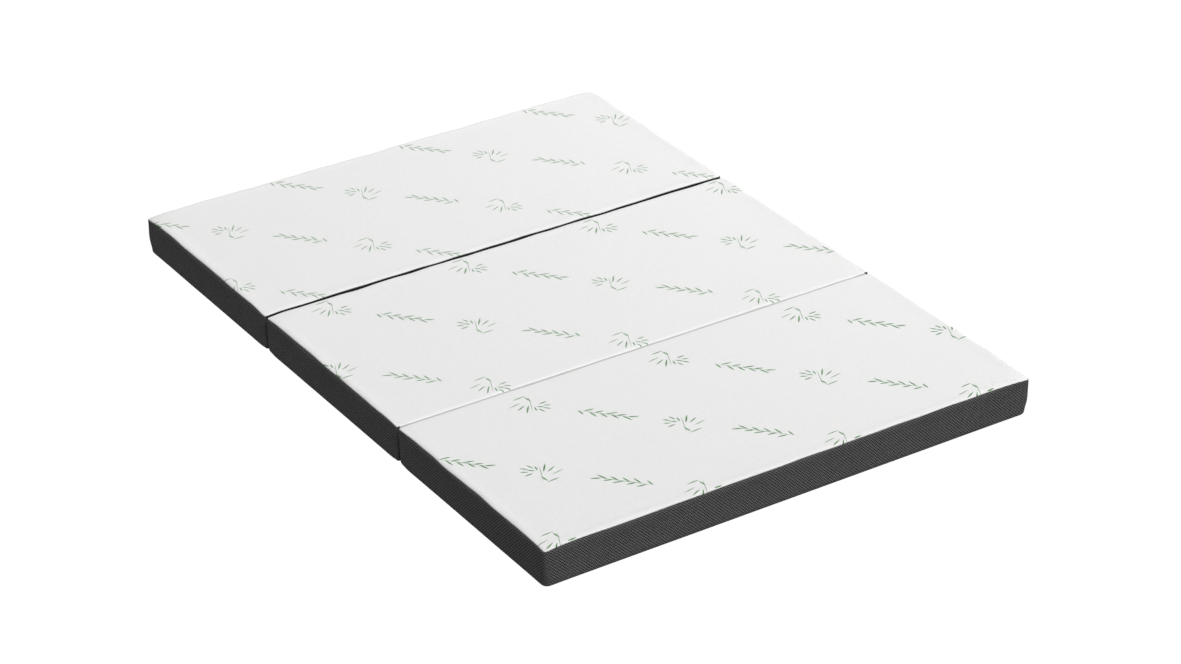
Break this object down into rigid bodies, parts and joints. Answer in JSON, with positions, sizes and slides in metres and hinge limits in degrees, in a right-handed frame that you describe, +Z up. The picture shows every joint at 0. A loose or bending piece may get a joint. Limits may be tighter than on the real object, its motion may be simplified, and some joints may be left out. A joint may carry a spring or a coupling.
{
  "type": "tri-fold memory foam mattress",
  "caption": "Mattress of foam panels in zipped fabric covers, joined end to end by fabric hinges so that it folds into a stack.",
  "frame": {"origin": "on the floor, under the middle of the mattress when it lies open", "axes": "+Z up; +Y along the length, towards the head panel; +X across the width, towards the side with the zips"},
  "size_m": [1.3768, 1.905, 0.102],
  "materials": {
    "knit_fabric": "matte",
    "air_mesh": "matte",
    "base_fabric": "matte",
    "memory_foam": "matte",
    "support_foam": "matte",
    "zip_tape": "matte",
    "zip_teeth": "satin",
    "zip_metal": "satin",
    "label": "matte"
  },
  "bodies": {
    "foot_panel": {"foot_top_fabric": "knit_fabric", "foot_side_band": "air_mesh", "foot_bottom_fabric": "base_fabric", "foot_memory_foam": "memory_foam", "foot_support_foam": "support_foam", "foot_zip_upper_tape": "zip_tape", "foot_zip_lower_tape": "zip_tape", "foot_zip_upper_teeth": "zip_teeth", "foot_zip_lower_teeth": "zip_teeth", "foot_zip_top_stop": "zip_metal", "foot_zip_bottom_stop": "zip_metal", "top_hinge_foot_leaf": "knit_fabric"},
    "foot_slider": {"foot_zip_slider": "zip_metal"},
    "foot_pull": {"foot_zip_pull": "zip_metal"},
    "middle_panel": {"middle_top_fabric": "knit_fabric", "middle_side_band": "air_mesh", "middle_bottom_fabric": "base_fabric", "middle_memory_foam": "memory_foam", "middle_support_foam": "support_foam", "middle_zip_upper_tape": "zip_tape", "middle_zip_lower_tape": "zip_tape", "middle_zip_upper_teeth": "zip_teeth", "middle_zip_lower_teeth": "zip_teeth", "middle_zip_top_stop": "zip_metal", "middle_zip_bottom_stop": "zip_metal", "top_hinge_middle_leaf": "knit_fabric", "bottom_hinge_middle_leaf": "air_mesh"},
    "middle_slider": {"middle_zip_slider": "zip_metal"},
    "middle_pull": {"middle_zip_pull": "zip_metal"},
    "head_panel": {"head_top_fabric": "knit_fabric", "head_side_band": "air_mesh", "head_bottom_fabric": "base_fabric", "head_memory_foam": "memory_foam", "head_support_foam": "support_foam", "head_zip_upper_tape": "zip_tape", "head_zip_lower_tape": "zip_tape", "head_zip_upper_teeth": "zip_teeth", "head_zip_lower_teeth": "zip_teeth", "head_zip_top_stop": "zip_metal", "head_zip_bottom_stop": "zip_metal", "bottom_hinge_head_leaf": "air_mesh", "care_label": "label"},
    "head_slider": {"head_zip_slider": "zip_metal"},
    "head_pull": {"head_zip_pull": "zip_metal"}
  },
  "joints": [
    {"name": "middle_fold", "type": "hinge", "parent": "foot_panel", "child": "middle_panel", "pos_m": [0, -0.31883, 0.1035], "axis": [1, 0, 0], "range_deg": [0, 179.9]},
    {"name": "head_fold", "type": "hinge", "parent": "middle_panel", "child": "head_panel", "pos_m": [0, 0.31883, -0.0015], "axis": [-1, 0, 0], "range_deg": [0, 179.9]},
    {"name": "foot_zip_travel", "type": "slide", "parent": "foot_panel", "child": "foot_slider", "axis": [0, -1, 0], "range_m": [0, 0.5427]},
    {"name": "foot_pull_swing", "type": "hinge", "parent": "foot_slider", "child": "foot_pull", "pos_m": [0.6886, -0.36583, 0.034], "axis": [0, 0, 1], "range_deg": [0, 180]},
    {"name": "middle_zip_travel", "type": "slide", "parent": "middle_panel", "child": "middle_slider", "axis": [0, -1, 0], "range_m": [0, 0.5427]},
    {"name": "middle_pull_swing", "type": "hinge", "parent": "middle_slider", "child": "middle_pull", "pos_m": [0.6886, 0.27183, 0.034], "axis": [0, 0, 1], "range_deg": [0, 180]},
    {"name": "head_zip_travel", "type": "slide", "parent": "head_panel", "child": "head_slider", "axis": [0, -1, 0], "range_m": [0, 0.5427]},
    {"name": "head_pull_swing", "type": "hinge", "parent": "head_slider", "child": "head_pull", "pos_m": [0.6886, 0.9095, 0.034], "axis": [0, 0, 1], "range_deg": [0, 180]}
  ]
}
